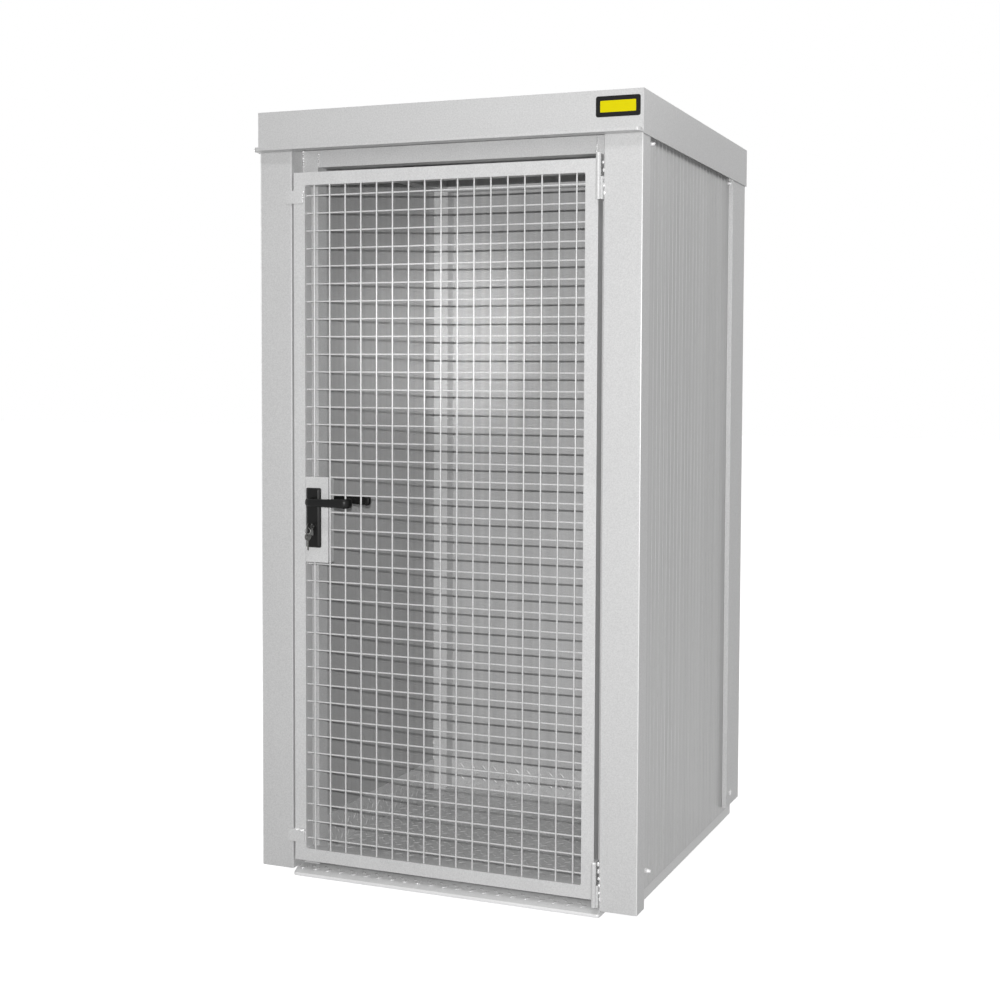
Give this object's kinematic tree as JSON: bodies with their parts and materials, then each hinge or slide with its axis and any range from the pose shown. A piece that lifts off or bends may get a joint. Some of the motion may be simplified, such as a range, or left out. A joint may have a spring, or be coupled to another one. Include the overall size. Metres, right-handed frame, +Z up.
{
  "type": "gas cylinder container",
  "caption": "Walk-in steel storage container for gas cylinders, with a sloping roof, double-skinned walls, a raised tear-plate floor and a lockable hinged mesh door.",
  "frame": {"origin": "on the ground under the middle of the body's footprint, on the underside of the middle floor bearer", "axes": "+X to the right seen from the door side, +Y to the rear, +Z up"},
  "size_m": [1.15, 1.1457, 2.195],
  "materials": {
    "grey_sheet": "light grey coated sheet steel, satin, with a fine speckle",
    "zinc_frame": "galvanised steel tube and wire, light grey, satin",
    "chequer_plate": "galvanised tear-pattern floor plate",
    "black_handle": "black moulded nylon, satin",
    "plated_lock": "nickel-plated, satin"
  },
  "bodies": {
    "container": {"front_left_post": "grey_sheet", "front_right_post": "grey_sheet", "rear_left_post": "grey_sheet", "rear_right_post": "grey_sheet", "front_left_upright": "zinc_frame", "front_right_upright": "zinc_frame", "rear_left_upright": "zinc_frame", "rear_right_upright": "zinc_frame", "base_left_rail": "zinc_frame", "base_right_rail": "zinc_frame", "base_rear_rail": "zinc_frame", "top_left_rail": "zinc_frame", "top_right_rail": "zinc_frame", "top_rear_rail": "zinc_frame", "door_header": "zinc_frame", "left_wall": "grey_sheet", "right_wall": "grey_sheet", "rear_wall": "grey_sheet", "floor_plate": "chequer_plate", "left_kick_plate": "chequer_plate", "right_kick_plate": "chequer_plate", "rear_kick_plate": "chequer_plate", "floor_bearers": "zinc_frame", "door_sill": "chequer_plate", "roof_sheet": "grey_sheet", "front_fascia": "grey_sheet", "left_fascia": "grey_sheet", "right_fascia": "grey_sheet", "rear_fascia": "grey_sheet", "roof_purlins": "zinc_frame", "post_hinges": "zinc_frame"},
    "door": {"door_left_stile": "zinc_frame", "door_right_stile": "zinc_frame", "door_top_rail": "zinc_frame", "door_bottom_rail": "zinc_frame", "lower_mesh": "zinc_frame", "upper_mesh": "zinc_frame", "stop_tabs": "zinc_frame", "door_hinges": "zinc_frame", "lock_case": "zinc_frame", "handle_plates": "black_handle", "lock_cylinder": "plated_lock"},
    "handle": {"outer_lever": "black_handle", "inner_lever": "black_handle"},
    "key": {"lock_plug": "plated_lock", "key": "plated_lock"}
  },
  "joints": [
    {"name": "door_hinge", "type": "hinge", "parent": "container", "child": "door", "pos_m": [0.453, -0.5523, 0], "axis": [0, 0, 1], "range_deg": [0, 175]},
    {"name": "handle_turn", "type": "hinge", "parent": "door", "child": "handle", "pos_m": [-0.3995, -0.5438, 1.09], "axis": [0, 1, 0], "range_deg": [0, 40], "stiffness_Nm_per_rad": 2, "springref_deg": -28.65},
    {"name": "key_turn", "type": "hinge", "parent": "door", "child": "key", "pos_m": [-0.3995, -0.5568, 1.018], "axis": [0, 1, 0], "range_deg": [0, 360]}
  ]
}
